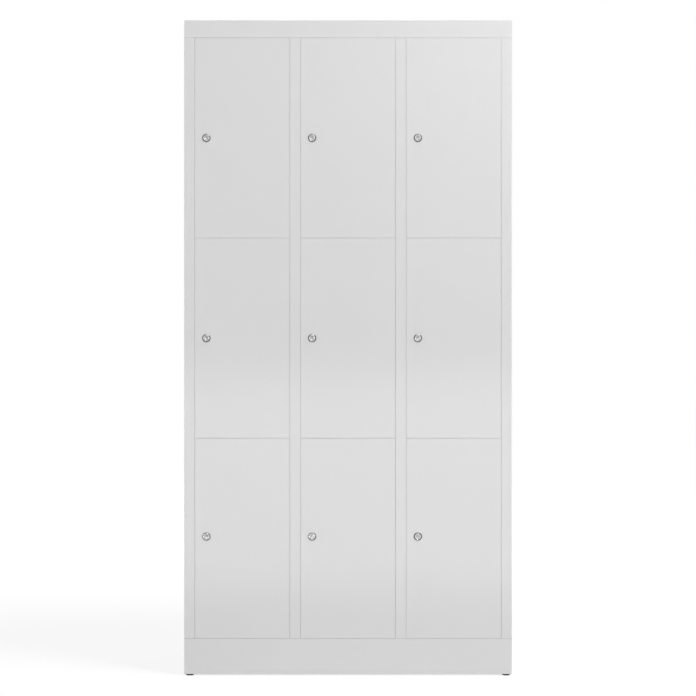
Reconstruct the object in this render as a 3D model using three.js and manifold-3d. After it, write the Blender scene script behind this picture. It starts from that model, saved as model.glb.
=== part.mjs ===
// Compartment locker: three columns and three rows of doors in a folded steel body.
// Millimetres, +Z up, doors facing -Y. The origin lies on the floor, under the
// middle of the locker.
import * as THREE from 'three';
import { mergeVertices } from 'three/addons/utils/BufferGeometryUtils.js';
import Module from 'manifold-3d';

const wasm = await Module();
wasm.setup();

// Overall size, feet included
const overallWidth = 900;
const overallHeight = 1800;
const bodyDepth = 450;
const columnNames = ['left', 'middle', 'right'];
const rowNames = ['top', 'middle', 'bottom'];
const postNames = ['left', 'right'];
const shelfNames = ['upper', 'lower'];

// Front frame
const stileWidth = 28.7;
const fasciaHeight = 48;
const plinthHeight = 98;
const footHeight = 4;

// Sheet metal
const bodySheet = 0.8;
const doorSheet = 0.8;
const bendInside = 0.15;
const bendSteps = 2;

// Clearances: a seat is the gap between two pieces that touch. A door's hinge edge swings
// out a little past its closed place, so its gap is the wider one.
const seat = 0.3;
const doorGap = 0.4;
const hingeGap = 0.5;
const weld = 0.2;
const overrun = 5;
const meshTolerance = 0.0005;

// Doors
const doorDepth = 14;
const doorLip = 12;
const stiffenerWidth = 60;
const stiffenerDepth = 10;
const stiffenerFlange = 12;
const stiffenerEndGap = 6;

// Hinges: a rod inside the door turns in brackets on the stile
const hingeFromEdge = 14;
const hingeFromFace = 4.1;
const rodDiameter = 3;
const hubWall = 1.2;
const bracketSheet = 2;
const bracketHeight = 20;
const bracketFromDoorEnd = 70;
const bracketArmOffset = 2.6;
const bracketRunBehindPin = 16;
const bracketFoot = 12;
const notchMargin = 2;
const hubSegments = 12;

// Locks
const lockFromEdge = 32;
const bottomLockRaise = 5;
const bezelDiameter = 23;
const bezelProud = 3;
const lockBodyDiameter = 18.6;
const lockBodyFlats = 16.4;
const lockBodyReach = 15.5;
const lockNutAcross = 24;
const lockNutThickness = 4;
const plugDiameter = 14;
const plugRecess = 0.8;
const guideDiameter = 10;
const guideEdgeDepth = 0.5;
const guideDepth = 2;
const keywayWidth = 1.6;
const keywayHeight = 7;
const keywayDepth = 6;
const camClearance = 1.3;
const camThickness = 2.5;
const camReach = 28;
const camHubDiameter = 16;
const camTipWidth = 12;
const camNutAcross = 10;
const camNutThickness = 3.5;
const bezelRimShare = 0.3;
const bezelShoulderShare = 0.35;
const lockSegments = 16;
const hexagon = 6;

// Stiles and folds of the body
const stileDepth = 34;
const stileReturn = 10;
const strikeWidth = 12;
const strikeBehindDoor = 0.8;
const rearReturn = 15;
const sideFlange = 30;
const partitionFlange = 12;
const backFlange = 15;
const plinthBottomReturn = 26;
const baseFlange = 30;
const baseFromFace = 14;

// Shelves
const shelfFromFace = 22;
const shelfFlange = 25;
const shelfAboveSeam = 6;
const shelfNotchGap = 0.8;

// Feet
const footDiameter = 21;
const footInset = 4.7;
const footChamfer = 0.6;
const footPegDiameter = 8;
const footPegAbove = 5;
const footFromFront = 12.3;
const footFromBack = 40;
const footSegments = 18;

// Places worked out from the sizes above
const columnCount = columnNames.length;
const rowCount = rowNames.length;
const halfWidth = overallWidth / 2;
const frontY = bezelProud - (bodyDepth + bezelProud) / 2;
const backY = frontY + bodyDepth;
const bodyBottom = footHeight;
const plinthTop = bodyBottom + plinthHeight;
const fasciaBottom = overallHeight - fasciaHeight;
const openingWidth = (overallWidth - (columnCount + 1) * stileWidth) / columnCount;
const doorWidth = openingWidth - doorGap - hingeGap;
const doorHeight = (fasciaBottom - plinthTop - (rowCount + 1) * doorGap) / rowCount;
const wallInside = halfWidth - bodySheet;
const doorBend = bendInside + doorSheet;
const bodyBend = bendInside + bodySheet;

// The strike lip lies behind the closed door, and the cam turns behind the lip
const strikeDepth = doorDepth + strikeBehindDoor;
const camDepth = strikeDepth + bodySheet + camClearance;

// Inner faces that several pieces meet
const roofUnderside = overallHeight - bodySheet;
const backInside = backY - bodySheet;
const returnFront = backInside - seat - bodySheet;
const partitionFrontY = frontY + stileDepth + seat;
const partitionRearY = backInside - seat;
const panelRearY = returnFront - seat;
const baseTop = plinthTop - bodySheet - seat;

const bodyPaint = new THREE.MeshStandardMaterial({ color: 0xd6d7d8, roughness: 0.5, metalness: 0 });
const chrome = new THREE.MeshStandardMaterial({ color: 0xd2d3d6, roughness: 0.12, metalness: 1 });
const zinc = new THREE.MeshStandardMaterial({ color: 0xb2b5b9, roughness: 0.35, metalness: 1 });
const blackPlastic = new THREE.MeshStandardMaterial({ color: 0x141414, roughness: 0.6, metalness: 0 });

const locker = new THREE.Group();

// Solids and meshes

function solidOf(geometry) {
  geometry.deleteAttribute('normal');
  geometry.deleteAttribute('uv');
  const merged = mergeVertices(geometry, meshTolerance);
  return new wasm.Manifold(new wasm.Mesh({
    numProp: 3,
    vertProperties: new Float32Array(merged.attributes.position.array),
    triVerts: new Uint32Array(merged.index.array),
  }));
}

function joined(first, ...others) {
  return others.reduce((sum, other) => sum.add(other), first);
}

function cut(first, ...tools) {
  return tools.reduce((rest, tool) => rest.subtract(tool), first);
}

function addPiece(name, solid, material) {
  const mesh = solid.getMesh();
  const geometry = new THREE.BufferGeometry();
  geometry.setAttribute('position', new THREE.BufferAttribute(new Float32Array(mesh.vertProperties), 3));
  geometry.setIndex(new THREE.BufferAttribute(new Uint32Array(mesh.triVerts), 1));
  geometry.computeVertexNormals();
  const piece = new THREE.Mesh(geometry, material);
  piece.name = name;
  locker.add(piece);
}

// A box between two values on each axis
function block([x0, x1], [y0, y1], [z0, z1]) {
  const geometry = new THREE.BoxGeometry(x1 - x0, y1 - y0, z1 - z0);
  geometry.translate((x0 + x1) / 2, (y0 + y1) / 2, (z0 + z1) / 2);
  return solidOf(geometry);
}

// An outline drawn in the plane square to an axis, extruded along it from start to end.
// Outlines for x hold [y, z], for y [x, z] and for z [x, y].
function prism(outline, axis, start, end) {
  const shape = new THREE.Shape(outline.map(([u, v]) => new THREE.Vector2(u, v)));
  const geometry = new THREE.ExtrudeGeometry(shape, { depth: end - start, bevelEnabled: false });
  const frame = new THREE.Matrix4();
  const alongX = new THREE.Vector3(1, 0, 0);
  const alongY = new THREE.Vector3(0, 1, 0);
  const alongZ = new THREE.Vector3(0, 0, 1);
  if (axis === 'x') {
    frame.makeBasis(alongY, alongZ, alongX).setPosition(start, 0, 0);
  } else if (axis === 'y') {
    frame.makeBasis(alongX, alongZ, alongY.clone().negate()).setPosition(0, end, 0);
  } else {
    frame.setPosition(0, 0, start);
  }
  geometry.applyMatrix4(frame);
  return solidOf(geometry);
}

// A turned solid: a profile of [radius, place on the axis] points about the y or z axis
function turned(profile, segments, axis) {
  const geometry = new THREE.LatheGeometry(
    profile.map(([radius, place]) => new THREE.Vector2(radius, place)),
    segments,
  );
  if (axis === 'z') {
    geometry.rotateX(Math.PI / 2);
  }
  return solidOf(geometry);
}

// A regular outline about a centre: a round one with many sides, a hexagon with six
function regularOutline(centreU, centreV, radius, sides) {
  return Array.from({ length: sides }, (_, i) => {
    const angle = (i / sides) * 2 * Math.PI;
    return [centreU + radius * Math.cos(angle), centreV + radius * Math.sin(angle)];
  });
}

// Points of the arc that replaces a corner, on a line that lies an offset to its left
function cornerArc(before, corner, after, insideRadius, sheet, offset, steps) {
  const inX = corner[0] - before[0];
  const inY = corner[1] - before[1];
  const outX = after[0] - corner[0];
  const outY = after[1] - corner[1];
  const inLength = Math.hypot(inX, inY);
  const ux = inX / inLength;
  const uy = inY / inLength;
  const turn = Math.atan2(inX * outY - inY * outX, inX * outX + inY * outY);
  const side = Math.sign(turn);
  const pathRadius = side > 0 ? insideRadius + sheet : insideRadius;
  const tangent = pathRadius * Math.tan(Math.abs(turn) / 2);
  const centreX = corner[0] - ux * tangent - uy * side * pathRadius;
  const centreY = corner[1] - uy * tangent + ux * side * pathRadius;
  const radius = pathRadius - side * offset;
  return Array.from({ length: steps + 1 }, (_, i) => {
    const angle = turn * (i / steps);
    const armX = uy * side;
    const armY = -ux * side;
    return [
      centreX + radius * (armX * Math.cos(angle) - armY * Math.sin(angle)),
      centreY + radius * (armX * Math.sin(angle) + armY * Math.cos(angle)),
    ];
  });
}

// Outline of a folded sheet: the path is one face, the sheet lies to the left of it
function foldedSheet(path, sheet) {
  const face = (offset) => path.flatMap((point, i) => {
    const before = path[i - 1];
    const after = path[i + 1];
    if (before && after) {
      return cornerArc(before, point, after, bendInside, sheet, offset, bendSteps);
    }
    const from = before ?? point;
    const to = after ?? point;
    const length = Math.hypot(to[0] - from[0], to[1] - from[1]);
    const leftX = -(to[1] - from[1]) / length;
    const leftY = (to[0] - from[0]) / length;
    return [[point[0] + leftX * offset, point[1] + leftY * offset]];
  });
  return [...face(0), ...face(sheet).reverse()];
}

// A rectangle with rounded corners between two values on each axis
function roundedRectangle([u0, u1], [v0, v1], radius) {
  const corners = [[u0, v0], [u1, v0], [u1, v1], [u0, v1]];
  return corners.flatMap((corner, i) => {
    const before = corners[(i + corners.length - 1) % corners.length];
    const after = corners[(i + 1) % corners.length];
    return cornerArc(before, corner, after, radius, 0, 0, bendSteps);
  });
}

// A block whose edges along X and along Z are rounded, as those of a folded pan are
function roundedBlock(xRange, yRange, zRange, radius) {
  const plan = prism(roundedRectangle(xRange, yRange, radius), 'z', ...zRange);
  const side = prism(roundedRectangle(yRange, zRange, radius), 'x', ...xRange);
  return plan.intersect(side);
}

const inset = ([low, high], distance) => [low + distance, high - distance];
const grown = ([low, high], distance) => [low - distance, high + distance];
const mirrored = (points) => points.map(([x, other]) => [-x, other]);

// Hinge bracket: a strip welded to the stile, bent round behind the swinging door edge,
// with a hub for the rod. The pin axis is at pinX, pinY.
const hubRadius = rodDiameter / 2 + seat + hubWall;
const boreRadius = rodDiameter / 2 + seat;

function hingeBracket(pinX, pinY, bottom) {
  const top = bottom + bracketHeight;
  const wallX = pinX + hingeFromEdge + hingeGap;
  const footX = wallX - bracketSheet + weld;
  const armX = pinX - bracketArmOffset - bracketSheet / 2;
  const runY = pinY + bracketRunBehindPin + bracketSheet;
  const strip = foldedSheet([
    [footX, runY - bracketSheet + bracketFoot],
    [footX, runY],
    [armX, runY],
    [armX, pinY],
  ], bracketSheet);
  const hub = prism(regularOutline(pinX, pinY, hubRadius, hubSegments), 'z', bottom, top);
  const bore = prism(regularOutline(pinX, pinY, boreRadius, hubSegments), 'z', ...grown([bottom, top], overrun));
  return cut(joined(prism(strip, 'z', bottom, top), hub), bore);
}

// Places of the doors
function doorBottom(row) {
  return plinthTop + doorGap + (rowCount - 1 - row) * (doorHeight + doorGap);
}

function openingLeft(column) {
  return -halfWidth + stileWidth + column * (openingWidth + stileWidth);
}

// The brackets that hold the doors of one column
function columnBrackets(column) {
  const pinX = openingLeft(column) + doorGap + doorWidth - hingeFromEdge;
  const pinY = frontY + hingeFromFace;
  return rowNames.flatMap((_, row) => {
    const low = doorBottom(row) + bracketFromDoorEnd;
    const high = doorBottom(row) + doorHeight - bracketFromDoorEnd - bracketHeight;
    return [hingeBracket(pinX, pinY, low), hingeBracket(pinX, pinY, high)];
  });
}

const stileBottom = plinthTop + doorGap;
const stileTop = fasciaBottom - doorGap;
const wallTop = roofUnderside - seat;

// What is drawn for the left side of the locker, or its mirror image for the right side
const outlineFor = (side, outline) => (side < 0 ? outline : mirrored(outline));
const rangeFor = (side, [low, high]) => (side < 0 ? [low, high] : [-high, -low]);

// Side panels: wall, rear return and front stile are one folded sheet. The stile stops
// short of the plinth and the fascia, which lap over the front edge of the wall.
function sidePanel(side) {
  const stileX = -halfWidth + stileWidth;
  const wall = [
    [-halfWidth + rearReturn, backInside - seat],
    [-halfWidth, backInside - seat],
    [-halfWidth, frontY],
    [stileX, frontY],
  ];
  const strikeLip = [
    [stileX, frontY + strikeDepth],
    [stileX + strikeWidth, frontY + strikeDepth],
  ];
  const hingeReturn = [
    [stileX, frontY + stileDepth],
    [stileX - stileReturn, frontY + stileDepth],
  ];
  const outline = foldedSheet([...wall, ...(side < 0 ? strikeLip : hingeReturn)], bodySheet);
  const panel = prism(outlineFor(side, outline), 'z', bodyBottom, wallTop);

  const pastStile = stileX + strikeWidth + overrun;
  const wallAndStile = rangeFor(side, [-halfWidth - overrun, pastStile]);
  const stileAlone = rangeFor(side, [-wallInside, pastStile]);
  const underFace = [frontY - overrun, frontY + bodySheet + seat];
  const stileThrough = [frontY - overrun, frontY + stileDepth + overrun];
  const ends = [[bodyBottom - overrun, stileBottom], [stileTop, wallTop + overrun]];
  const cuts = ends.flatMap((zone) => [
    block(wallAndStile, underFace, zone),
    block(stileAlone, stileThrough, zone),
  ]);
  return cut(panel, ...cuts);
}

// Flanges folded inward along the top and the bottom of a side wall
function sideFlanges(side) {
  const ends = [
    frontY + bodySheet + seat + plinthBottomReturn + seat,
    backInside - backFlange - bodySheet - seat,
  ];
  const flange = (edge, inward) => {
    const path = [
      [-halfWidth, edge + inward * sideFlange],
      [-halfWidth, edge],
      [-halfWidth + sideFlange, edge],
    ];
    const drawn = inward > 0 ? path : [...path].reverse();
    return prism(outlineFor(side, foldedSheet(drawn, bodySheet)), 'y', ...ends);
  };
  return [flange(bodyBottom, 1), flange(wallTop, -1)];
}

// Feet: the front glides have their pegs through the plinth's bottom return, and the rear
// ones through the bottom flanges of the side walls
const footX = halfWidth - footInset - footDiameter / 2;
const footPlaces = {
  front_left: [-footX, frontY + footFromFront],
  front_right: [footX, frontY + footFromFront],
  rear_left: [-footX, backY - footFromBack],
  rear_right: [footX, backY - footFromBack],
};

function pegHole([x, y]) {
  const radius = footPegDiameter / 2 + seat;
  const ends = grown([bodyBottom, bodyBottom + bodySheet], bodySheet);
  return prism(regularOutline(x, y, radius, footSegments), 'z', ...ends);
}

function makeSidePanels() {
  const left = joined(sidePanel(-1), ...sideFlanges(-1));
  const right = joined(sidePanel(1), ...sideFlanges(1), ...columnBrackets(columnCount - 1));
  addPiece('left_side_panel', cut(left, pegHole(footPlaces.rear_left)), bodyPaint);
  addPiece('right_side_panel', cut(right, pegHole(footPlaces.rear_right)), bodyPaint);
}

function makeFeet() {
  const radius = footDiameter / 2;
  const pegTop = bodyBottom + bodySheet + footPegAbove;
  const profile = [
    [0, 0],
    [radius - footChamfer, 0],
    [radius, footChamfer],
    [radius, footHeight - seat],
    [footPegDiameter / 2, footHeight - seat],
    [footPegDiameter / 2, pegTop],
    [0, pegTop],
  ];
  for (const [place, [x, y]] of Object.entries(footPlaces)) {
    addPiece(`foot_${place}`, turned(profile, footSegments, 'z').translate(x, y, 0), blackPlastic);
  }
}

// Cutters that clear both ends of a full-width piece, outside a distance from the middle
function endReliefs(fromMiddle, yRange, zRange) {
  const reach = halfWidth + overrun;
  return [
    block([-reach, -fromMiddle], yRange, zRange),
    block([fromMiddle, reach], yRange, zRange),
  ];
}

// Top panel: roof, fascia and the return behind the doors' upper edges, one folded sheet
function makeTopPanel() {
  const path = [
    [backY, overallHeight],
    [frontY, overallHeight],
    [frontY, fasciaBottom],
    [frontY + stileDepth, fasciaBottom],
  ];
  const sheet = prism(foldedSheet(path, bodySheet), 'x', -halfWidth, halfWidth);
  const behindFascia = [frontY + bodySheet + seat, frontY + stileDepth + overrun];
  const underRoof = [fasciaBottom - overrun, wallTop + seat];
  const reliefs = endReliefs(wallInside - seat, behindFascia, underRoof);
  addPiece('top_panel', cut(sheet, ...reliefs), bodyPaint);
}

// Plinth: its top return carries the front edge of the base panel
function makePlinth() {
  const path = [
    [frontY + stileDepth, plinthTop],
    [frontY, plinthTop],
    [frontY, bodyBottom],
    [frontY + bodySheet + plinthBottomReturn, bodyBottom],
  ];
  const sheet = prism(foldedSheet(path, bodySheet), 'x', -halfWidth, halfWidth);
  const behindFace = [frontY + bodySheet + seat, frontY + stileDepth + overrun];
  const reliefs = endReliefs(wallInside - seat, behindFace, grown([bodyBottom, plinthTop], overrun));
  const pegHoles = [footPlaces.front_left, footPlaces.front_right].map(pegHole);
  addPiece('plinth', cut(sheet, ...reliefs, ...pegHoles), bodyPaint);
}

// Back panel: a sheet over the rear returns, with a flange under the roof and one below
function makeBackPanel() {
  const path = [
    [backY - bodySheet - backFlange, bodyBottom],
    [backY, bodyBottom],
    [backY, wallTop],
    [backY - bodySheet - backFlange, wallTop],
  ];
  const sheet = prism(foldedSheet(path, bodySheet), 'x', -halfWidth, halfWidth);
  const inFront = [backInside - backFlange - overrun, backInside];
  const reliefs = endReliefs(halfWidth - rearReturn - seat, inFront, grown([bodyBottom, wallTop], overrun));
  addPiece('back_panel', cut(sheet, ...reliefs), bodyPaint);
}

// A shallow tray turned upside down: a panel with flanges folded down all round
function downTray(xRange, yRange, zRange) {
  const outer = roundedBlock(xRange, yRange, zRange, bodyBend);
  const inner = block(inset(xRange, bodySheet), inset(yRange, bodySheet), [
    zRange[0] - overrun,
    zRange[1] - bodySheet,
  ]);
  return cut(outer, inner);
}

function makeBasePanel() {
  const across = [-wallInside + seat, wallInside - seat];
  const alongDepth = [frontY + baseFromFace, panelRearY];
  const base = downTray(across, alongDepth, [baseTop - baseFlange, baseTop]);
  addPiece('base_panel', base, bodyPaint);
}

// Centre stiles: channel with the strike lip on its right and the hinges on its left
function stileCentre(column) {
  return openingLeft(column) + openingWidth + stileWidth / 2;
}

function makeCentreStiles() {
  for (let column = 0; column < columnCount - 1; column += 1) {
    const left = stileCentre(column) - stileWidth / 2;
    const right = stileCentre(column) + stileWidth / 2;
    const path = [
      [left + stileReturn, frontY + stileDepth],
      [left, frontY + stileDepth],
      [left, frontY],
      [right, frontY],
      [right, frontY + strikeDepth],
      [right + strikeWidth, frontY + strikeDepth],
    ];
    const channel = prism(foldedSheet(path, bodySheet), 'z', stileBottom, stileTop);
    addPiece(`centre_stile_${postNames[column]}`, joined(channel, ...columnBrackets(column)), bodyPaint);
  }
}

// Partitions stand on the base panel behind the centre stiles
function makePartitions() {
  for (let column = 0; column < columnCount - 1; column += 1) {
    const face = stileCentre(column) + bodySheet / 2;
    const path = [
      [face - bodySheet - partitionFlange, partitionFrontY],
      [face, partitionFrontY],
      [face, partitionRearY],
      [face - bodySheet - partitionFlange, partitionRearY],
    ];
    const sheet = prism(foldedSheet(path, bodySheet), 'z', baseTop + seat, wallTop - bodySheet - seat);
    addPiece(`partition_${postNames[column]}`, sheet, bodyPaint);
  }
}

// Shelves: trays with the front corner cleared round the stile on their right
function shelfRange(column) {
  const left = column === 0 ? -wallInside : stileCentre(column - 1) + bodySheet / 2;
  const right = column === columnCount - 1 ? wallInside : stileCentre(column) - bodySheet / 2;
  return [left + seat, right - seat];
}

function seamHeight(row) {
  return doorBottom(row) - doorGap / 2;
}

function makeShelves() {
  columnNames.forEach((columnName, column) => {
    shelfNames.forEach((name, row) => {
      const across = shelfRange(column);
      const top = seamHeight(row) + shelfAboveSeam;
      const levels = [top - shelfFlange, top];
      const tray = downTray(across, [frontY + shelfFromFace, panelRearY], levels);
      const stileLeft = openingLeft(column) + openingWidth;
      const corner = block(
        [stileLeft - shelfNotchGap, across[1] + overrun],
        [frontY, partitionFrontY + bodySheet + shelfNotchGap],
        grown(levels, overrun),
      );
      addPiece(`shelf_${name}_${columnName}`, cut(tray, corner), bodyPaint);
    });
  });
}

// Door: a pan with its edges folded back and rolled in, a stiffener down the middle,
// notches for the hinge brackets and holes for the rod and the lock
function lockHeight(row) {
  const middle = doorBottom(row) + doorHeight / 2;
  return row === rowCount - 1 ? middle + bottomLockRaise : middle;
}

function doorSolid(column, row) {
  const left = openingLeft(column) + doorGap;
  const across = [left, left + doorWidth];
  const through = [frontY, frontY + doorDepth];
  const bottom = doorBottom(row);
  const levels = [bottom, bottom + doorHeight];
  const pinX = across[1] - hingeFromEdge;
  const pinY = frontY + hingeFromFace;
  const lockX = left + lockFromEdge;
  const lockZ = lockHeight(row);

  const outer = roundedBlock(across, through, levels, doorBend);
  const inner = block(inset(across, doorSheet), inset(through, doorSheet), inset(levels, doorSheet));
  const behind = [through[1] - doorSheet - weld, through[1] + overrun];
  const window = block(inset(across, doorLip), behind, inset(levels, doorLip));
  const pan = cut(outer, inner, window);

  const middle = (across[0] + across[1]) / 2;
  const half = stiffenerWidth / 2;
  const hatFront = through[0] + doorSheet - weld;
  const hatBack = hatFront + stiffenerDepth;
  const hat = foldedSheet([
    [middle - half - stiffenerFlange, hatFront],
    [middle - half, hatFront],
    [middle - half, hatBack],
    [middle + half, hatBack],
    [middle + half, hatFront],
    [middle + half + stiffenerFlange, hatFront],
  ], doorSheet);
  const stiffener = prism(hat, 'z', ...inset(levels, doorLip + stiffenerEndGap));

  const rodHoles = prism(
    regularOutline(pinX, pinY, boreRadius, hubSegments),
    'z',
    ...grown(levels, overrun),
  );
  const lockHole = prism(
    flattedRound(lockX, lockZ, lockBodyDiameter / 2 + seat, lockBodyFlats / 2 + seat),
    'y',
    through[0] - overrun,
    through[0] + doorSheet + seat,
  );
  const notches = [
    levels[0] + bracketFromDoorEnd,
    levels[1] - bracketFromDoorEnd - bracketHeight,
  ].map((low) => block(
    [across[1] - doorLip - weld, across[1] + overrun],
    [through[0] + doorBend, through[1] + overrun],
    grown([low, low + bracketHeight], notchMargin),
  ));
  return cut(joined(pan, stiffener), rodHoles, lockHole, ...notches);
}

// A round outline with two upright flats, as a cam lock's threaded body has
function flattedRound(centreU, centreV, radius, flat) {
  return regularOutline(0, 0, radius, lockSegments).map(([u, v]) => [
    centreU + Math.max(-flat, Math.min(flat, u)),
    centreV + v,
  ]);
}

// Lock housing: domed bezel, body with two flats and the nut behind the door
function lockHousing(x, z) {
  const radius = bezelDiameter / 2;
  const bore = plugDiameter / 2 + seat;
  const rim = bore + (radius - bore) * bezelRimShare;
  const shoulder = bezelProud * bezelShoulderShare;
  const body = lockBodyDiameter / 2;
  const barrel = turned([
    [bore, lockBodyReach],
    [bore, -bezelProud + plugRecess / 2],
    [rim, -bezelProud],
    [radius - (bezelProud - shoulder) / 2, -(bezelProud + shoulder) / 2],
    [radius, -shoulder],
    [radius, -seat],
    [body, -seat],
    [body, lockBodyReach],
    [bore, lockBodyReach],
  ], lockSegments, 'y').translate(x, frontY, z);
  const alongFlats = [frontY - seat, frontY + lockBodyReach + overrun];
  const flats = [-1, 1].map((side) => block(
    [x + side * lockBodyFlats / 2, x + side * (body + overrun)].sort((a, b) => a - b),
    alongFlats,
    grown([z, z], body + overrun),
  ));
  const nutFront = frontY + doorSheet + seat;
  const nutOutline = regularOutline(x, z, lockNutAcross / Math.sqrt(3), hexagon);
  const nut = prism(nutOutline, 'y', nutFront, nutFront + lockNutThickness);
  const hole = prism(
    regularOutline(x, z, body - (body - bore) / 2, lockSegments),
    'y',
    nutFront - overrun,
    nutFront + lockNutThickness + overrun,
  );
  return joined(cut(barrel, ...flats), cut(nut, hole));
}

// Lock plug with its dished key guide and keyway, the cam on its end and the cam's nut.
// The lock is drawn open: the cam hangs straight down, clear of the strike lip.
function lockCam(x, z) {
  const plugFront = frontY - bezelProud + plugRecess;
  const camFront = frontY + camDepth;
  const camBack = camFront + camThickness;
  const plug = prism(regularOutline(x, z, plugDiameter / 2, lockSegments), 'y', plugFront, camFront + weld);
  const keyway = block(
    grown([x, x], keywayWidth / 2),
    [plugFront - overrun, plugFront + keywayDepth],
    grown([z, z], keywayHeight / 2),
  );
  const guide = turned([
    [0, plugFront - overrun],
    [guideDiameter / 2, plugFront - overrun],
    [guideDiameter / 2, plugFront + guideEdgeDepth],
    [0, plugFront + guideDepth],
  ], lockSegments, 'y').translate(x, 0, z);
  const hubR = camHubDiameter / 2;
  const tipR = camTipWidth / 2;
  const steps = lockSegments / 4;
  const halfRound = (radius, centreZ, from) => Array.from({ length: steps + 1 }, (_, i) => {
    const angle = from + Math.PI * (i / steps);
    return [x + radius * Math.cos(angle), centreZ + radius * Math.sin(angle)];
  });
  const camOutline = [
    ...halfRound(hubR, z, 0),
    ...halfRound(tipR, z - camReach + tipR, Math.PI),
  ];
  const cam = prism(camOutline, 'y', camFront, camBack);
  const nutOutline = regularOutline(x, z, camNutAcross / Math.sqrt(3), hexagon);
  const nut = prism(nutOutline, 'y', camBack - weld, camBack + camNutThickness);
  return joined(cut(plug, guide, keyway), cam, nut);
}

function makeDoors() {
  rowNames.forEach((rowName, row) => {
    columnNames.forEach((columnName, column) => {
      const place = `${rowName}_${columnName}`;
      const left = openingLeft(column) + doorGap;
      const pinX = left + doorWidth - hingeFromEdge;
      const pinY = frontY + hingeFromFace;
      const lockX = left + lockFromEdge;
      const lockZ = lockHeight(row);
      const rodOutline = regularOutline(pinX, pinY, rodDiameter / 2, hubSegments);
      const bottom = doorBottom(row);
      addPiece(`door_${place}`, doorSolid(column, row), bodyPaint);
      addPiece(`hinge_rod_${place}`, prism(rodOutline, 'z', bottom, bottom + doorHeight), zinc);
      addPiece(`lock_housing_${place}`, lockHousing(lockX, lockZ), chrome);
      addPiece(`lock_cam_${place}`, lockCam(lockX, lockZ), chrome);
    });
  });
}

makeSidePanels();
makeTopPanel();
makeBackPanel();
makeBasePanel();
makePlinth();
makeCentreStiles();
makePartitions();
makeShelves();
makeFeet();
makeDoors();

export default locker;
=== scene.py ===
import math

import bmesh
import bpy
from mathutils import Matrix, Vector


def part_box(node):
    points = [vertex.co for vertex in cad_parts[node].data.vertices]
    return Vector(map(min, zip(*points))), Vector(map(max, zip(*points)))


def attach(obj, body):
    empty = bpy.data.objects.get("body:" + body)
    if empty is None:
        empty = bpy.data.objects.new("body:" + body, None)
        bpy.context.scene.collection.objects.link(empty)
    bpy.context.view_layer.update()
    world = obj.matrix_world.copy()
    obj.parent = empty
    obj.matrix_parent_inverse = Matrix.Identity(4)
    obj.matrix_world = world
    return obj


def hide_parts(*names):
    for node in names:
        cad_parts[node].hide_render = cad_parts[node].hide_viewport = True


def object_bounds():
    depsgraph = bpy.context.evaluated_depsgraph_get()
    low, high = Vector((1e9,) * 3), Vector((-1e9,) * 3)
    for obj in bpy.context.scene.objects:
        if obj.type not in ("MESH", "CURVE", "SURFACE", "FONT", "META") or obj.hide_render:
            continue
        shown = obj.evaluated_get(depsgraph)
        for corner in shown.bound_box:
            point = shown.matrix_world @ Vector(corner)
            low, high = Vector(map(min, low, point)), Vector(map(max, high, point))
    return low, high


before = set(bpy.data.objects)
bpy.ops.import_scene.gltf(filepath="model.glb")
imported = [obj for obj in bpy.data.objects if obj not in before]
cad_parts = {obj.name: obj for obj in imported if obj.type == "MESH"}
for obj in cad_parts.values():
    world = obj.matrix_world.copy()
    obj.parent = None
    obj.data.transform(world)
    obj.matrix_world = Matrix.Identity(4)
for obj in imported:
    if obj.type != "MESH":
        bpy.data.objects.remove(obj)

CAD_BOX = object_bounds()
MM = 0.001
ROWS = ("top", "middle", "bottom")
COLUMNS = ("left", "middle", "right")
PLACES = [f"{row}_{column}" for row in ROWS for column in COLUMNS]
FEET = [f"foot_{end}_{side}" for end in ("front", "rear") for side in ("left", "right")]

# The photograph: a square picture, with the body's outline in its pixels
PHOTO_SIZE = 696
BODY_LEFT_PX = 184.43
BODY_RIGHT_PX = 511.55
BODY_TOP_PX = 20.3
FEET_BOTTOM_PX = 675.6

# Camera
CAMERA_DISTANCE = 6.0
SENSOR_WIDTH = 36.0
LEVEL_TILT_DEGREES = 90

# Floor. The camera sees its own light, which rises between two distances from the locker, and on
# it the share of the lamps' light that shadows can take away. Other rays meet the plain colour.
FLOOR_HALF_SIZE = 30.0
FLOOR_COLOUR = 0.8
FLOOR_LIFT_NEAR = 0.75
FLOOR_LIFT_FAR = 0.86
FLOOR_NEAR = 1.2
FLOOR_FAR = 4.0
FLOOR_SHADED_SHARE = 0.4

# World and lamps: place, target, width and height of the lamp, watts, spread in degrees
WORLD_LEVEL = 0.35
WHITE_LEVEL = 1.0
LAMPS = {
    "overhead_softbox": ((2.2, -1.8, 5.0), (0.0, 0.0, 0.9), (2.2, 1.4), 64.0, 180.0),
    "left_softbox": ((-4.6, -5.0, 0.9), (0.0, 0.0, 0.9), (2.4, 2.4), 133.0, 180.0),
    "right_softbox": ((4.6, -5.0, 1.6), (0.0, 0.0, 0.9), (2.4, 2.4), 158.0, 180.0),
    "low_band_softbox": ((0.0, -7.2, 0.53), (0.0, 0.0, 0.53), (2.6, 0.59), 0.405, 2.0),
    "upper_right_softbox": ((2.6, -5.2, 2.8), (0.62, 0.0, 1.85), (0.5, 0.5), 0.47, 19.0),
    "rear_left_softbox": ((-4.6, 5.0, 0.9), (0.0, 0.0, 0.9), (2.4, 2.4), 30.0, 180.0),
    "rear_right_softbox": ((4.6, 5.0, 0.9), (0.0, 0.0, 0.9), (2.4, 2.4), 155.0, 180.0),
    "upper_card": ((0.2, -1.75, 4.3), (0.0, -0.22, 0.9), (3.2, 1.0), 55.0, 180.0),
}
# Cards that show in polished metal and gloss only
CARDS = ("upper_card",)

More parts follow.
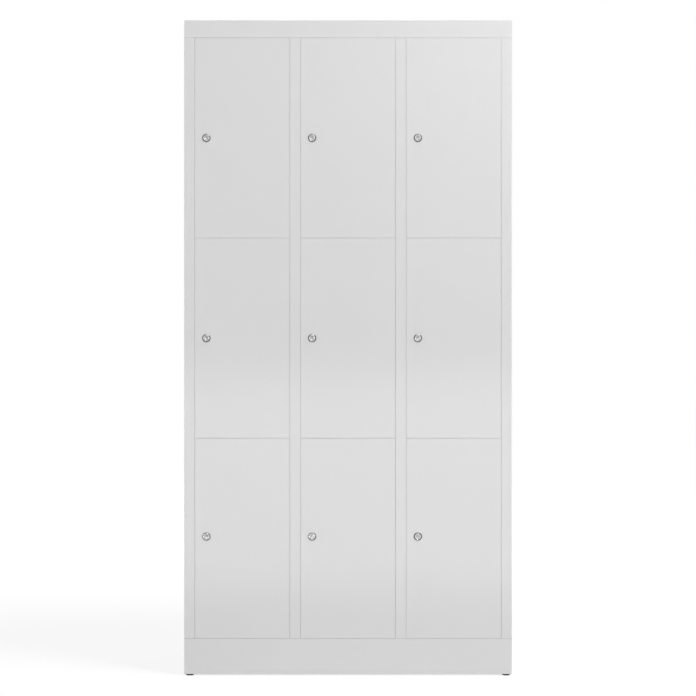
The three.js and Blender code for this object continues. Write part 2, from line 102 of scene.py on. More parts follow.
# Noise patterns: cells per metre and detail
PAINT_TONE = (3.0, 2.0)
PAINT_SHEEN = (9.0, 2.0)
ORANGE_PEEL = (420.0, 1.0)
PAINT_GRAIN = (2400.0, 1.0)
PLATED_TONE = (300.0, 3.0)
PLATED_SHEEN = (900.0, 3.0)
PLATED_MARKS = (3000.0, 2.0)
TURNED_TONE = (250.0, 2.0)
PLASTIC_TONE = (200.0, 2.0)
PLASTIC_SHEEN = (600.0, 2.0)
PLASTIC_SPARKS = (2500.0, 3.0)
# The part of a noise factor's range that its values fill
NOISE_LOW = 0.3
NOISE_HIGH = 0.7

# Rings left by the lathe
RINGS_SCALE = 900.0
RINGS_DISTORTION = 0.6

# Depths of the bumps
ORANGE_PEEL_DEPTH = 0.03 * MM
PAINT_GRAIN_DEPTH = 0.006 * MM
PLATED_MARKS_DEPTH = 0.002 * MM
TURNED_RINGS_DEPTH = 0.003 * MM
PLASTIC_SPARKS_DEPTH = 0.02 * MM

# Share of itself by which a colour varies
PAINT_TONE_SHARE = 0.006
METAL_TONE_SHARE = 0.03
PLASTIC_TONE_SHARE = 0.2

# Roughness: the plain value, and its least and most. For metals these are shares of the plain value.
PAINT_ROUGHNESS = 0.52
PAINT_ROUGHNESS_ENDS = (0.5, 0.54)
PLASTIC_ROUGHNESS = 0.5
PLASTIC_ROUGHNESS_ENDS = (0.42, 0.6)
PLATED_ROUGHNESS_SHARES = (0.75, 1.3)
TURNED_ROUGHNESS_SHARES = (0.85, 1.2)

# Colours, and for metals the name, colour and roughness
PAINT_COLOUR = (0.66, 0.66, 0.66)
PLASTIC_COLOUR = (0.004, 0.004, 0.0042)
PLASTIC_GLOSS = 0.1
NICKEL_LAND = ("nickel_land", (0.68, 0.68, 0.686), 0.22)
# The flank's dark grey is a painted reflection: it stands for dark surroundings mirrored in bright
# nickel.
DARK_REFLECTION_FLANK = ("nickel_flank_painted_dark_reflection", (0.14, 0.14, 0.143), 0.22)
# The plug face and key guide are turned metal. Their greys are darker than the land, darkest in the
# key guide, and are partly a painted shade of the lock's recess.
PLUG_FACE = ("plug_face", (0.5, 0.5, 0.505), 0.34)
KEY_GUIDE = ("key_guide", (0.42, 0.42, 0.425), 0.38)
ZINC = ("zinc_plate", (0.55, 0.56, 0.58), 0.35)

# Paint film and the small rounding that it leaves on sheet edges
FILM = 0.06 * MM
FACET_WELD = 0.002 * MM
EDGE_ROUNDING = 0.15 * MM
EDGE_SEGMENTS = 2
SOFT_EDGE_ANGLE = math.radians(32)
SHADE_ANGLE = math.radians(50)
FLAT_FACE_WEIGHT = 100

# Lock housing
BEZEL_RADIUS_MM = 11.5
BEZEL_PROUD_MM = 3.0
BEZEL_LAND_MM = 8.35
FLANK_TILT_DEGREES = 34
LIP_RADIUS_MM = 0.5
CREST_RADIUS_MM = 0.25
RIM_RADIUS_MM = 1.1
LIP_STEPS, CREST_STEPS, RIM_STEPS = 5, 4, 8
SKIRT_SEAT_MM = -0.12
SKIRT_CHAMFER_MM = 0.15
BORE_RADIUS_MM = 7.3
BARREL_RADIUS_MM = 9.3
BARREL_FLATS_MM = 8.2
BARREL_REACH_MM = 15.5
THREAD_FROM_MM = 0.7
THREAD_PITCH_MM = 1.0
THREAD_DEPTH_MM = 0.4
THREAD_END_MM = 1.0
NUT_ACROSS_MM = 24.0
NUT_FROM_MM, NUT_TO_MM = 1.1, 5.1
ROUND_SEGMENTS = 72

# Nuts: radius of the round chamfer, as a share of half the width across flats, and its slope
NUT_CHAMFER_SHARE = 1.02
NUT_CHAMFER_SLOPE = 0.58

# Lock plug with its key guide and keyway
PLUG_RADIUS_MM = 7.0
PLUG_FACE_MM = -2.2
PLUG_CHAMFER_MM = 0.3
GUIDE_RADIUS_MM = 5.0
GUIDE_EDGE_MM = 0.4
GUIDE_DEPTH_MM = 2.8
GUIDE_TAPER_MM = 0.1
GUIDE_LIP_MM, GUIDE_LIP_DEPTH_MM = 0.15, 0.12
KEYWAY_WIDTH_MM = 1.7
KEYWAY_HEIGHT_MM = 6.2
KEYWAY_DEPTH_MM = 6.0
KEYWAY_OVERRUN_MM = 1.0
KEYWAY_END_STEPS = 8
WARD_DEPTH_MM = 0.35
# Heights of the ward's corners, as shares of the straight half of the keyway
WARD_HEIGHTS = (0.35, 0.3, -0.1, -0.15)

# Cam, with its washer, nut and stud. The nut's back is measured from the cam's own back.
CAM_FROM_MM, CAM_TO_MM = 16.9, 19.4
CAM_HUB_MM, CAM_TIP_MM, CAM_REACH_MM = 8.0, 6.0, 28.0
CAM_ARC_STEPS = 20
CAM_RIM_ANGLE = math.radians(60)
CAM_ROUNDING = 0.3 * MM
CAM_ROUNDING_SEGMENTS = 3
ROUND_PROFILE = 0.5
CAM_NUT_ACROSS_MM = 10.0
CAM_NUT_BACK_MM = 3.5
WASHER_BORE_MM, WASHER_RADIUS_MM, WASHER_MM = 2.6, 6.1, 0.9
WASHER_CHAMFER_MM = 0.2
STUD_RADIUS_MM = 2.7
STUD_CHAMFER_MM = 0.3
STUD_PAST_NUT_MM = 0.5
STUD_SEGMENTS = 32

# Hinge rods
ROD_RADIUS_MM = 1.5
ROD_CHAMFER_MM = 0.3
ROD_SEGMENTS = 24

# Glides: the dished sole, its rounded edge, the parting groove and the peg
FOOT_RADIUS_MM = 10.5
FOOT_TOP_MM = 3.7
FOOT_CHAMFER_MM = 0.3
SOLE_DISH_MM = 0.4
SOLE_DISH_INSET_MM, SOLE_RIM_INSET_MM = 3.4, 2.8
SOLE_EDGE_MM = 0.4
SOLE_EDGE_DEGREES = -75
SOLE_EDGE_STEPS = 5
GROOVE_DEPTH_MM = 0.25
GROOVE_HEIGHTS_MM = (1.9, 2.05, 2.25, 2.4)
PEG_RADIUS_MM = 4.0
PEG_TOP_MM = 9.8
PEG_CHAMFER_MM = 0.6

# Points closer than this are one point
POINT_WELD = 0.001 * MM

LOW, HIGH = CAD_BOX
HEIGHT = HIGH.z - LOW.z
FRONT_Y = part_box("plinth")[0].y


# Camera and studio

def make_camera():
    """Square on to the front, at the photograph's scale."""
    per_pixel = HEIGHT / (FEET_BOTTOM_PX - BODY_TOP_PX)
    middle = PHOTO_SIZE / 2
    across = (middle - (BODY_LEFT_PX + BODY_RIGHT_PX) / 2) * per_pixel
    up = ((BODY_TOP_PX + FEET_BOTTOM_PX) / 2 - middle) * per_pixel
    data = bpy.data.cameras.new("camera")
    data.sensor_width = SENSOR_WIDTH
    data.lens = SENSOR_WIDTH * CAMERA_DISTANCE / (PHOTO_SIZE * per_pixel)
    camera = bpy.data.objects.new("camera", data)
    camera.location = (across, FRONT_Y - CAMERA_DISTANCE, LOW.z + HEIGHT / 2 + up)
    camera.rotation_euler = (math.radians(LEVEL_TILT_DEGREES), 0, 0)
    bpy.context.scene.collection.objects.link(camera)
    bpy.context.scene.camera = camera


def background_rays(tree):
    """1 for the rays that see the white background: camera, glossy and transmission rays."""
    path = tree.nodes.new("ShaderNodeLightPath")
    socket = path.outputs["Is Camera Ray"]
    for kind in ("Is Glossy Ray", "Is Transmission Ray"):
        either = tree.nodes.new("ShaderNodeMath")
        either.operation = "MAXIMUM"
        tree.links.new(socket, either.inputs[0])
        tree.links.new(path.outputs[kind], either.inputs[1])
        socket = either.outputs[0]
    return socket


def mix_by_rays(tree, for_light, for_background, output):
    """Other rays meet the first shader, and those that see the background the second."""
    mix = tree.nodes.new("ShaderNodeMixShader")
    tree.links.new(background_rays(tree), mix.inputs["Fac"])
    tree.links.new(for_light, mix.inputs[1])
    tree.links.new(for_background, mix.inputs[2])
    tree.links.new(mix.outputs[0], output.inputs["Surface"])


def white_background(tree, strength):
    """A world shader of plain white at a strength."""
    background = tree.nodes.new("ShaderNodeBackground")
    background.inputs["Color"].default_value = (1, 1, 1, 1)
    background.inputs["Strength"].default_value = strength
    return background.outputs[0]


def make_world():
    """Plain even light, seen by the camera as white."""
    world = bpy.data.worlds.new("studio")
    bpy.context.scene.world = world
    world.use_nodes = True
    tree = world.node_tree
    tree.nodes.clear()
    light = white_background(tree, WORLD_LEVEL)
    white = white_background(tree, WHITE_LEVEL)
    mix_by_rays(tree, light, white, tree.nodes.new("ShaderNodeOutputWorld"))


def diffuse(tree, level):
    """A matt shader of one grey."""
    shader = tree.nodes.new("ShaderNodeBsdfDiffuse")
    shader.inputs["Color"].default_value = (level, level, level, 1)
    return shader.outputs[0]


def floor_lift(tree):
    """The floor's own light, weaker near the locker so that the shadow shows there."""
    place = tree.nodes.new("ShaderNodeTexCoord")
    distance = tree.nodes.new("ShaderNodeVectorMath")
    distance.operation = "LENGTH"
    rising = tree.nodes.new("ShaderNodeMapRange")
    rising.inputs["From Min"].default_value = FLOOR_NEAR
    rising.inputs["From Max"].default_value = FLOOR_FAR
    rising.inputs["To Min"].default_value = FLOOR_LIFT_NEAR
    rising.inputs["To Max"].default_value = FLOOR_LIFT_FAR
    lift = tree.nodes.new("ShaderNodeEmission")
    tree.links.new(place.outputs["Object"], distance.inputs[0])
    tree.links.new(distance.outputs["Value"], rising.inputs["Value"])
    tree.links.new(rising.outputs["Result"], lift.inputs["Strength"])
    return lift.outputs[0]


def floor_material():
    """White to the camera where nothing shades it, with the locker's shadow kept."""
    material = bpy.data.materials.new("pale_floor")
    material.use_nodes = True
    tree = material.node_tree
    tree.nodes.clear()
    plain = diffuse(tree, FLOOR_COLOUR)
    both = tree.nodes.new("ShaderNodeAddShader")
    tree.links.new(diffuse(tree, FLOOR_SHADED_SHARE), both.inputs[0])
    tree.links.new(floor_lift(tree), both.inputs[1])
    mix_by_rays(tree, plain, both.outputs[0], tree.nodes.new("ShaderNodeOutputMaterial"))
    return material


def make_floor():
    """One wide square at floor level."""
    half = FLOOR_HALF_SIZE
    corners = [(-half, -half, 0), (half, -half, 0), (half, half, 0), (-half, half, 0)]
    mesh = bpy.data.meshes.new("floor")
    mesh.from_pydata(corners, [], [(0, 1, 2, 3)])
    mesh.materials.append(floor_material())
    floor = bpy.data.objects.new("floor", mesh)
    bpy.context.scene.collection.objects.link(floor)


def make_lamps():
    """Area lamps, none of them seen by the camera."""
    for name, (place, target, size, watts, spread) in LAMPS.items():
        data = bpy.data.lights.new(name, "AREA")
        data.shape = "RECTANGLE"
        data.size, data.size_y = size
        data.energy = watts
        data.spread = math.radians(spread)
        lamp = bpy.data.objects.new(name, data)
        lamp.location = place
        lamp.rotation_euler = (Vector(target) - Vector(place)).to_track_quat("-Z", "Y").to_euler()
        lamp.visible_camera = False
        lamp.visible_diffuse = name not in CARDS
        bpy.context.scene.collection.objects.link(lamp)


# Materials

def new_material(name, colour, roughness, metallic=0.0):
    """A material with its shader's plain values set: (material, tree, shader)."""
    material = bpy.data.materials.new(name)
    material.use_nodes = True
    shader = material.node_tree.nodes["Principled BSDF"]
    shader.inputs["Base Color"].default_value = (*colour, 1)
    shader.inputs["Roughness"].default_value = roughness
    shader.inputs["Metallic"].default_value = metallic
    return material, material.node_tree, shader


def noise(tree, pattern):
    """A noise pattern on the object's own coordinates."""
    cells, detail = pattern
    coordinates = tree.nodes.new("ShaderNodeTexCoord")
    texture = tree.nodes.new("ShaderNodeTexNoise")
    texture.inputs["Scale"].default_value = cells
    texture.inputs["Detail"].default_value = detail
    tree.links.new(coordinates.outputs["Object"], texture.inputs["Vector"])
    return texture.outputs["Fac"]


def spread_over(tree, factor, low, high):
    """Maps a noise factor, which stays near its middle, to values from low to high."""
    ranged = tree.nodes.new("ShaderNodeMapRange")
    ranged.inputs["From Min"].default_value = NOISE_LOW
    ranged.inputs["From Max"].default_value = NOISE_HIGH
    ranged.inputs["To Min"].default_value = low
    ranged.inputs["To Max"].default_value = high
    tree.links.new(factor, ranged.inputs["Value"])
    return ranged.outputs["Result"]


def vary_colour(tree, shader, factor, colour, amount):
    """The colour, made lighter and darker by a share of itself."""
    mix = tree.nodes.new("ShaderNodeMix")
    mix.data_type = "RGBA"
    mix.inputs["A"].default_value = (*(c * (1 - amount) for c in colour), 1)
    mix.inputs["B"].default_value = (*(c * (1 + amount) for c in colour), 1)
    tree.links.new(spread_over(tree, factor, 0, 1), mix.inputs["Factor"])
    tree.links.new(mix.outputs["Result"], shader.inputs["Base Color"])


def vary_roughness(tree, shader, factor, ends):
    """Roughness from the least to the most of its two ends."""
    tree.links.new(spread_over(tree, factor, *ends), shader.inputs["Roughness"])


def add_bumps(tree, shader, heights):
    """Bumps one on another: (pattern, depth in metres) pairs."""
    normal = None
    for height, depth in heights:
        bump = tree.nodes.new("ShaderNodeBump")
        bump.inputs["Distance"].default_value = depth
        bump.inputs["Strength"].default_value = 1.0
        tree.links.new(height, bump.inputs["Height"])
        if normal is not None:
            tree.links.new(normal, bump.inputs["Normal"])
        normal = bump.outputs["Normal"]
    tree.links.new(normal, shader.inputs["Normal"])


def powder_coat(name):
    """Satin polyester powder: faint orange peel, finer grain on it, slightly uneven sheen."""
    material, tree, shader = new_material(name, PAINT_COLOUR, PAINT_ROUGHNESS)
    vary_colour(tree, shader, noise(tree, PAINT_TONE), PAINT_COLOUR, PAINT_TONE_SHARE)
    vary_roughness(tree, shader, noise(tree, PAINT_SHEEN), PAINT_ROUGHNESS_ENDS)
    orange_peel = noise(tree, ORANGE_PEEL)
    grain = noise(tree, PAINT_GRAIN)
    add_bumps(tree, shader, [(orange_peel, ORANGE_PEEL_DEPTH), (grain, PAINT_GRAIN_DEPTH)])
    return material


def plated(name, colour, roughness):
    """Plated metal: fine tumbled marks and an uneven polish."""
    material, tree, shader = new_material(name, colour, roughness, 1.0)
    vary_colour(tree, shader, noise(tree, PLATED_TONE), colour, METAL_TONE_SHARE)
    ends = [roughness * share for share in PLATED_ROUGHNESS_SHARES]
    vary_roughness(tree, shader, noise(tree, PLATED_SHEEN), ends)
    add_bumps(tree, shader, [(noise(tree, PLATED_MARKS), PLATED_MARKS_DEPTH)])
    return material


def turned_face(name, colour, roughness):
    """A face finished on a lathe: fine rings about the lock's axis."""
    material, tree, shader = new_material(name, colour, roughness, 1.0)
    vary_colour(tree, shader, noise(tree, TURNED_TONE), colour, METAL_TONE_SHARE)
    coordinates = tree.nodes.new("ShaderNodeTexCoord")
    rings = tree.nodes.new("ShaderNodeTexWave")
    rings.wave_type = "RINGS"
    rings.rings_direction = "Y"
    rings.inputs["Scale"].default_value = RINGS_SCALE
    rings.inputs["Distortion"].default_value = RINGS_DISTORTION
    tree.links.new(coordinates.outputs["Object"], rings.inputs["Vector"])
    ends = [roughness * share for share in TURNED_ROUGHNESS_SHARES]
    vary_roughness(tree, shader, rings.outputs["Fac"], ends)
    add_bumps(tree, shader, [(rings.outputs["Fac"], TURNED_RINGS_DEPTH)])
    return material


def moulded(name):
    """Hard moulded plastic with a fine spark-eroded texture."""
    material, tree, shader = new_material(name, PLASTIC_COLOUR, PLASTIC_ROUGHNESS)
    vary_colour(tree, shader, noise(tree, PLASTIC_TONE), PLASTIC_COLOUR, PLASTIC_TONE_SHARE)
    vary_roughness(tree, shader, noise(tree, PLASTIC_SHEEN), PLASTIC_ROUGHNESS_ENDS)
    add_bumps(tree, shader, [(noise(tree, PLASTIC_SPARKS), PLASTIC_SPARKS_DEPTH)])
    shader.inputs["Specular IOR Level"].default_value = PLASTIC_GLOSS
    return material


# Meshes

def mesh_from(name, points, faces, materials):
    """A closed mesh in metres from points in millimetres; a face is (corners, material number)."""
    mesh = bpy.data.meshes.new(name)
    mesh.from_pydata([tuple(c * MM for c in p) for p in points], [], [f for f, _ in faces])
    for material in materials:
        mesh.materials.append(material)
    for polygon, (_, number) in zip(mesh.polygons, faces):
        polygon.material_index = number
    work = bmesh.new()
    work.from_mesh(mesh)
    bmesh.ops.remove_doubles(work, verts=work.verts, dist=POINT_WELD)
    bmesh.ops.recalc_face_normals(work, faces=work.faces)
    work.to_mesh(mesh)
    work.free()
    mesh.shade_smooth()
    mesh.set_sharp_from_angle(angle=SHADE_ANGLE)
    return mesh


def revolve(profile_at, numbers, closed, segments=ROUND_SEGMENTS):
    """Points and faces of a profile turned about Y. profile_at(angle) gives its [radius, depth]
    points; numbers holds each stretch's material, or is None where there is one material. A
    closed profile joins its ends."""
    rings = [profile_at(2 * math.pi * i / segments) for i in range(segments)]
    count = len(rings[0])
    points = []
    for i, ring in enumerate(rings):
        angle = 2 * math.pi * i / segments
        points += [(r * math.cos(angle), y, r * math.sin(angle)) for r, y in ring]
    faces = []
    for i in range(segments):
        here, there = i * count, (i + 1) % segments * count
        for j in range(count if closed else count - 1):
            k = (j + 1) % count
            number = numbers[j] if numbers else 0
            corners = [here + j, here + k, there + k, there + j]
            if rings[0][j][0] == 0:
                corners = [here + j, here + k, there + k]
            elif rings[0][k][0] == 0:
                corners = [here + j, here + k, there + j]
            faces.append((corners, number))
    return points, faces


def together(*parts):
    """Several lists of points and faces as one."""
    points, faces = [], []
    for part_points, part_faces in parts:
        start = len(points)
        points += part_points
        faces += [([start + c for c in corners], number) for corners, number in part_faces]
    return points, faces


def arc(centre, radius, start, end, steps):
    """Points of an arc in a flat outline, angles in degrees from the outline's first axis."""
    angles = [math.radians(start + (end - start) * i / steps) for i in range(steps + 1)]
    return [(centre[0] + radius * math.cos(a), centre[1] + radius * math.sin(a)) for a in angles]


def hexagon_radius(angle, across):
    """Distance from the middle of a hexagon to its side at an angle."""
    sector = 2 * math.pi / 6
    return across / 2 / math.cos((angle % sector) - sector / 2)


def nut(across, bore, front, back, number):
    """A hexagon nut with both faces chamfered round."""
    chamfer_radius = across / 2 * NUT_CHAMFER_SHARE

    def profile_at(angle):
        side = hexagon_radius(angle, across)
        inner = min(side, chamfer_radius)
        drop = (side - inner) * NUT_CHAMFER_SLOPE
        front_half = [(bore, front), (inner, front), (side, front + drop)]
        back_half = [(side, back - drop), (inner, back), (bore, back)]
        return [*front_half, *back_half]

    return revolve(profile_at, [number] * len(profile_at(0)), True)


def flat_solid(outline, front, back):
    """An outline in [x, z] millimetres made solid between two depths."""
    count = len(outline)
    points = [(x, front, z) for x, z in outline] + [(x, back, z) for x, z in outline]
    faces = [(list(range(count)), 0), (list(range(count, 2 * count)), 0)]
    for i in range(count):
        j = (i + 1) % count
        faces.append(([i, j, count + j, count + i], 0))
    return points, faces


def upright(mesh_parts):
    """Turns points made about Y so that they stand about Z."""
    points, faces = mesh_parts
    return [(x, -z, y) for x, y, z in points], faces


def piece(name, mesh, place, body, node):
    """A finished piece at its place, riding on its body and standing for its CAD node."""
    made = bpy.data.objects.new(name, mesh)
    made.location = place
    bpy.context.scene.collection.objects.link(made)
    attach(made, body)
    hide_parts(node)


# Locks

def thread_profile():
    """The thread along the barrel: a crest and a root for each turn."""
    profile = []
    turns = int((BARREL_REACH_MM - THREAD_END_MM) / THREAD_PITCH_MM)
    for i in range(turns):
        start = THREAD_FROM_MM + i * THREAD_PITCH_MM
        profile.append((BARREL_RADIUS_MM, start))
        profile.append((BARREL_RADIUS_MM - THREAD_DEPTH_MM, start + THREAD_PITCH_MM / 2))
    return profile


def housing_mesh(bright, flank, zinc):
    """Bezel with a bright land and a flank darkened as a painted reflection, threaded barrel with two
    flats, and its nut.
    """
    lip_centre = (BORE_RADIUS_MM + LIP_RADIUS_MM, -BEZEL_PROUD_MM + LIP_RADIUS_MM)
    lip = arc(lip_centre, LIP_RADIUS_MM, 180, 270, LIP_STEPS)
    tilt = math.radians(FLANK_TILT_DEGREES)
    flank_start = FLANK_TILT_DEGREES - 90
    crest_centre = (BEZEL_LAND_MM, CREST_RADIUS_MM - BEZEL_PROUD_MM)
    crest = arc(crest_centre, CREST_RADIUS_MM, -90, flank_start, CREST_STEPS)
    rim_middle = BEZEL_RADIUS_MM - RIM_RADIUS_MM
    flank_end = rim_middle + RIM_RADIUS_MM * math.sin(tilt)
    flank_depth = crest[-1][1] + (flank_end - crest[-1][0]) * math.tan(tilt)
    rim_depth = flank_depth + RIM_RADIUS_MM * math.cos(tilt)
    rim = arc((rim_middle, rim_depth), RIM_RADIUS_MM, flank_start, 0, RIM_STEPS)
    skirt = [
        (BEZEL_RADIUS_MM, SKIRT_SEAT_MM - SKIRT_CHAMFER_MM),
        (BEZEL_RADIUS_MM - SKIRT_CHAMFER_MM, SKIRT_SEAT_MM),
        (BARREL_RADIUS_MM, SKIRT_SEAT_MM),
    ]
    thread = thread_profile()
    end = [(BARREL_RADIUS_MM - THREAD_DEPTH_MM, BARREL_REACH_MM), (BORE_RADIUS_MM, BARREL_REACH_MM)]
    profile = [*lip, *crest, *rim, *skirt, *thread, *end]
    numbers = [0] * len(lip) + [1] * (len(crest) + len(rim) + 2) + [2] * (len(thread) + len(end) + 1)
    points, faces = revolve(lambda _: profile, numbers, True)
    flatted = [
        (max(-BARREL_FLATS_MM, min(BARREL_FLATS_MM, x)), y, z) if y > 0 else (x, y, z)
        for x, y, z in points
    ]
    lock_nut = nut(NUT_ACROSS_MM, BARREL_RADIUS_MM - THREAD_DEPTH_MM / 2, NUT_FROM_MM, NUT_TO_MM, 2)
    points, faces = together((flatted, faces), lock_nut)
    return mesh_from("lock_housing", points, faces, [bright, flank, zinc])


def cut_keyway(mesh, cutter_mesh):
    """Takes the keyway's solid out of the plug's mesh."""
    plug = bpy.data.objects.new("plug_work", mesh)
    cutter = bpy.data.objects.new("keyway_work", cutter_mesh)
    for made in (plug, cutter):
        bpy.context.scene.collection.objects.link(made)
    modifier = plug.modifiers.new("keyway", "BOOLEAN")
    modifier.operation = "DIFFERENCE"
    modifier.object = cutter
    modifier.solver = "EXACT"
    modifier.material_mode = "TRANSFER"
    bpy.context.view_layer.update()
    result = bpy.data.meshes.new_from_object(plug.evaluated_get(bpy.context.evaluated_depsgraph_get()))
    for made in (plug, cutter):
        bpy.data.objects.remove(made)
    return result


def keyway_outline():
    """Upright slot with round ends and the ward's step on one side."""
    half = KEYWAY_WIDTH_MM / 2
    top = KEYWAY_HEIGHT_MM / 2 - half
    upper = arc((0, top), half, 0, 180, KEYWAY_END_STEPS)
    lower = [(-x, -z) for x, z in upper]
    sides = (-half, -half - WARD_DEPTH_MM, -half - WARD_DEPTH_MM, -half)
    ward = [(side, top * height) for side, height in zip(sides, WARD_HEIGHTS)]
    return [*upper, *ward, *lower]


def plug_mesh(face, dark, zinc):
    """Plug with its guide ring and keyway."""
    profile = [
        (0, PLUG_FACE_MM + GUIDE_DEPTH_MM),
        (GUIDE_RADIUS_MM - GUIDE_TAPER_MM, PLUG_FACE_MM + GUIDE_EDGE_MM),
        (GUIDE_RADIUS_MM, PLUG_FACE_MM + GUIDE_LIP_DEPTH_MM),
        (GUIDE_RADIUS_MM + GUIDE_LIP_MM, PLUG_FACE_MM),
        (PLUG_RADIUS_MM - PLUG_CHAMFER_MM, PLUG_FACE_MM),
        (PLUG_RADIUS_MM, PLUG_FACE_MM + PLUG_CHAMFER_MM),
        (PLUG_RADIUS_MM, CAM_FROM_MM),
        (0, CAM_FROM_MM),
    ]
    numbers = [1, 1, 0, 0, 0, 2, 2]
    plug = mesh_from("plug", *revolve(lambda _: profile, numbers, False), [face, dark, zinc])
    keyway = flat_solid(
        keyway_outline(), PLUG_FACE_MM - KEYWAY_OVERRUN_MM, PLUG_FACE_MM + KEYWAY_DEPTH_MM
    )
    return cut_keyway(plug, mesh_from("keyway", *keyway, [dark]))


def cam_blank(zinc):
    """The cam: a flat bar with a round hub and a round tip."""
    hub = arc((0, 0), CAM_HUB_MM, 0, 180, CAM_ARC_STEPS)
    tip = arc((0, CAM_TIP_MM - CAM_REACH_MM), CAM_TIP_MM, 180, 360, CAM_ARC_STEPS)
    return mesh_from("cam_blank", *flat_solid([*hub, *tip], CAM_FROM_MM, CAM_TO_MM), [zinc])


def cam_fittings(zinc):
    """What holds the cam on the plug: washer, nut and stud."""
    washer_back = CAM_TO_MM + WASHER_MM
    washer_profile = [
        (WASHER_BORE_MM, CAM_TO_MM),
        (WASHER_RADIUS_MM - WASHER_CHAMFER_MM, CAM_TO_MM),
        (WASHER_RADIUS_MM, CAM_TO_MM + WASHER_CHAMFER_MM),
        (WASHER_RADIUS_MM, washer_back - WASHER_CHAMFER_MM),
        (WASHER_RADIUS_MM - WASHER_CHAMFER_MM, washer_back),
        (WASHER_BORE_MM, washer_back),
    ]
    nut_back = CAM_TO_MM + CAM_NUT_BACK_MM
    stud_end = nut_back + STUD_PAST_NUT_MM
    stud_profile = [
        (0, CAM_FROM_MM),
        (STUD_RADIUS_MM, CAM_FROM_MM),
        (STUD_RADIUS_MM, stud_end - STUD_CHAMFER_MM),
        (STUD_RADIUS_MM - STUD_CHAMFER_MM, stud_end),
        (0, stud_end),
    ]
    washer = revolve(lambda _: washer_profile, None, True)
    cam_nut = nut(CAM_NUT_ACROSS_MM, WASHER_BORE_MM, washer_back, nut_back, 0)
    stud = revolve(lambda _: stud_profile, None, False, STUD_SEGMENTS)
    return mesh_from("cam_fittings", *together(washer, cam_nut, stud), [zinc])


def round_rims(work):
    """Rounds the sharp edges of a mesh that is being worked on."""
    rims = [e for e in work.edges if len(e.link_faces) == 2 and e.calc_face_angle() > CAM_RIM_ANGLE]
    bmesh.ops.bevel(
        work, geom=rims, offset=CAM_ROUNDING, segments=CAM_ROUNDING_SEGMENTS,
        profile=ROUND_PROFILE, affect="EDGES",
    )


def join_meshes(name, meshes, rounded):
    """Several meshes as one, keeping their materials. The rounded one has its rims rounded first."""
    materials = []
    work = bmesh.new()
    for mesh in meshes:
        part = bmesh.new()
        part.from_mesh(mesh)
        if mesh is rounded:
            round_rims(part)
        numbers = []
        for material in mesh.materials:
            if material not in materials:
                materials.append(material)
            numbers.append(materials.index(material))
        for face in part.faces:
            face.material_index = numbers[min(face.material_index, len(numbers) - 1)]
        moved = bpy.data.meshes.new("part")
        part.to_mesh(moved)
        part.free()
        work.from_mesh(moved)
        bpy.data.meshes.remove(moved)
    result = bpy.data.meshes.new(name)
    work.to_mesh(result)
    work.free()
    for material in materials:
        result.materials.append(material)
    result.shade_smooth()
    result.set_sharp_from_angle(angle=SHADE_ANGLE)
    return result


def make_locks(bright, flank, face, guide, zinc):
    """A housing and a plug with its cam in each door, from one mesh of each."""
    housing = housing_mesh(bright, flank, zinc)
    plug = plug_mesh(face, guide, zinc)
    blank = cam_blank(zinc)
    cam = join_meshes("lock_cam", [plug, blank, cam_fittings(zinc)], blank)
    for place in PLACES:
        low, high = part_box(f"lock_housing_{place}")
        centre = ((low.x + high.x) / 2, FRONT_Y, (low.z + high.z) / 2)
        piece(f"housing_{place}", housing, centre, f"{place}_door", f"lock_housing_{place}")
        piece(f"plug_and_cam_{place}", cam, centre, f"{place}_cam", f"lock_cam_{place}")


# Rods and feet

def standing_place(node):
    """The CAD node's box: the middle of its underside, and its height in metres."""
    low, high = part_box(node)
    return ((low.x + high.x) / 2, (low.y + high.y) / 2, low.z), high.z - low.z


def make_rods(zinc):
    """A chamfered rod in each door, as long as its CAD node."""
    for place in PLACES:
        node = f"hinge_rod_{place}"
        foot, height = standing_place(node)
        length = height / MM
        profile = [
            (0, 0),
            (ROD_RADIUS_MM - ROD_CHAMFER_MM, 0),
            (ROD_RADIUS_MM, ROD_CHAMFER_MM),
            (ROD_RADIUS_MM, length - ROD_CHAMFER_MM),
            (ROD_RADIUS_MM - ROD_CHAMFER_MM, length),
            (0, length),
        ]
        points, faces = upright(revolve(lambda _: profile, None, False, ROD_SEGMENTS))
        mesh = mesh_from("hinge_rod", points, faces, [zinc])
        piece(f"rod_{place}", mesh, foot, f"{place}_door", node)


def make_feet(plastic):
    """Glides: a dished sole, a parting groove round the disc, and a peg that stands in the sheet
    above it, the plinth's return at the front and the side panel's flange at the rear."""
    edge_centre = (FOOT_RADIUS_MM - SOLE_EDGE_MM, SOLE_EDGE_MM)
    groove_from, groove_in, groove_out, groove_to = GROOVE_HEIGHTS_MM
    profile = [
        (0, SOLE_DISH_MM),
        (FOOT_RADIUS_MM - SOLE_DISH_INSET_MM, SOLE_DISH_MM),
        (FOOT_RADIUS_MM - SOLE_RIM_INSET_MM, 0),
        (FOOT_RADIUS_MM - SOLE_EDGE_MM, 0),
        *arc(edge_centre, SOLE_EDGE_MM, SOLE_EDGE_DEGREES, 0, SOLE_EDGE_STEPS),
        (FOOT_RADIUS_MM, groove_from),
        (FOOT_RADIUS_MM - GROOVE_DEPTH_MM, groove_in),
        (FOOT_RADIUS_MM - GROOVE_DEPTH_MM, groove_out),
        (FOOT_RADIUS_MM, groove_to),
        (FOOT_RADIUS_MM, FOOT_TOP_MM - FOOT_CHAMFER_MM),
        (FOOT_RADIUS_MM - FOOT_CHAMFER_MM, FOOT_TOP_MM),
        (PEG_RADIUS_MM, FOOT_TOP_MM),
        (PEG_RADIUS_MM, PEG_TOP_MM - PEG_CHAMFER_MM),
        (PEG_RADIUS_MM - PEG_CHAMFER_MM, PEG_TOP_MM),
        (0, PEG_TOP_MM),
    ]
    mesh = mesh_from("glide", *upright(revolve(lambda _: profile, None, False)), [plastic])
    for node in FEET:
        piece(node.replace("foot", "glide"), mesh, standing_place(node)[0], "cabinet", node)


# Painted sheet

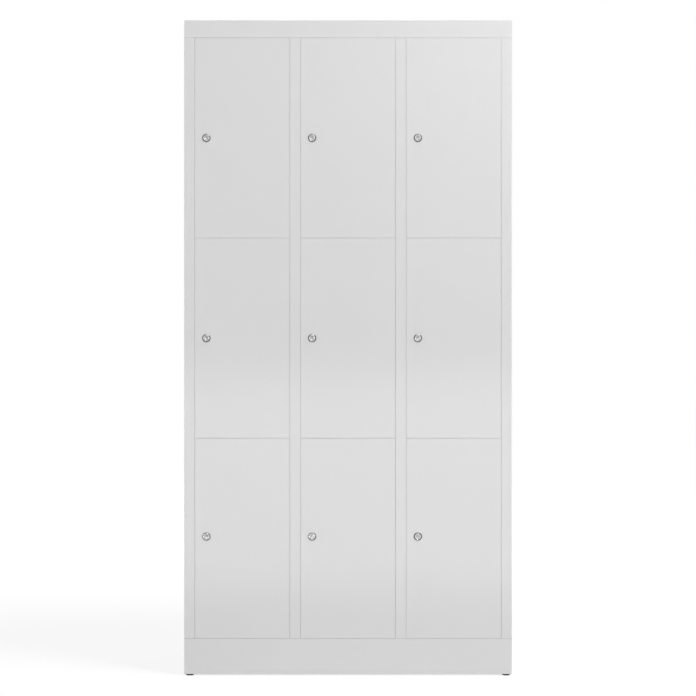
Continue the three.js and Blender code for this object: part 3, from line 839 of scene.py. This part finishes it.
def sheet_shading():
    """A node group that shades bends smoothly and keeps sharp edges sharp."""
    group = bpy.data.node_groups.new("sheet_shading", "GeometryNodeTree")
    group.interface.new_socket("Geometry", in_out="INPUT", socket_type="NodeSocketGeometry")
    group.interface.new_socket("Geometry", in_out="OUTPUT", socket_type="NodeSocketGeometry")
    start = group.nodes.new("NodeGroupInput")
    faces = group.nodes.new("GeometryNodeSetShadeSmooth")
    faces.domain = "FACE"
    edges = group.nodes.new("GeometryNodeSetShadeSmooth")
    edges.domain = "EDGE"
    edges.inputs["Shade Smooth"].default_value = False
    angle = group.nodes.new("GeometryNodeInputMeshEdgeAngle")
    sharp = group.nodes.new("FunctionNodeCompare")
    sharp.operation = "GREATER_THAN"
    sharp.inputs["B"].default_value = SHADE_ANGLE
    end = group.nodes.new("NodeGroupOutput")
    group.links.new(start.outputs[0], faces.inputs["Geometry"])
    group.links.new(faces.outputs[0], edges.inputs["Geometry"])
    group.links.new(angle.outputs["Unsigned Angle"], sharp.inputs["A"])
    group.links.new(sharp.outputs[0], edges.inputs["Selection"])
    group.links.new(edges.outputs[0], end.inputs[0])
    return group


def paint(node, material, shading):
    """Powder-coats a CAD node: its facets are welded, its edges rounded and the film added."""
    mesh = node.data
    if "custom_normal" in mesh.attributes:
        mesh.attributes.remove(mesh.attributes["custom_normal"])
    mesh.materials.clear()
    mesh.materials.append(material)
    weld = node.modifiers.new("weld", "WELD")
    weld.merge_threshold = FACET_WELD
    rounding = node.modifiers.new("rounding", "BEVEL")
    rounding.width = EDGE_ROUNDING
    rounding.segments = EDGE_SEGMENTS
    rounding.limit_method = "ANGLE"
    rounding.angle_limit = SOFT_EDGE_ANGLE
    film = node.modifiers.new("film", "DISPLACE")
    film.strength = FILM
    film.mid_level = 0
    smooth = node.modifiers.new("shading", "NODES")
    smooth.node_group = shading
    flat_faces = node.modifiers.new("flat_faces", "WEIGHTED_NORMAL")
    flat_faces.mode = "FACE_AREA"
    flat_faces.weight = FLAT_FACE_WEIGHT
    flat_faces.keep_sharp = True


def dress_sheet():
    """Paints each CAD node that no finished piece stands for."""
    body_paint = powder_coat("powder_coat_body")
    door_paint = powder_coat("powder_coat_doors")
    shading = sheet_shading()
    for name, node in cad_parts.items():
        if not node.hide_render:
            paint(node, door_paint if name.startswith("door_") else body_paint, shading)


make_camera()
make_world()
make_floor()
make_lamps()
nickel_land = plated(*NICKEL_LAND)
flank_painted_dark_reflection = plated(*DARK_REFLECTION_FLANK)
plug_face = turned_face(*PLUG_FACE)
key_guide = turned_face(*KEY_GUIDE)
zinc_plate = plated(*ZINC)
make_locks(nickel_land, flank_painted_dark_reflection, plug_face, key_guide, zinc_plate)
make_rods(zinc_plate)
make_feet(moulded("black_moulded_plastic"))
dress_sheet()

bpy.context.scene.view_settings.view_transform = "Standard"
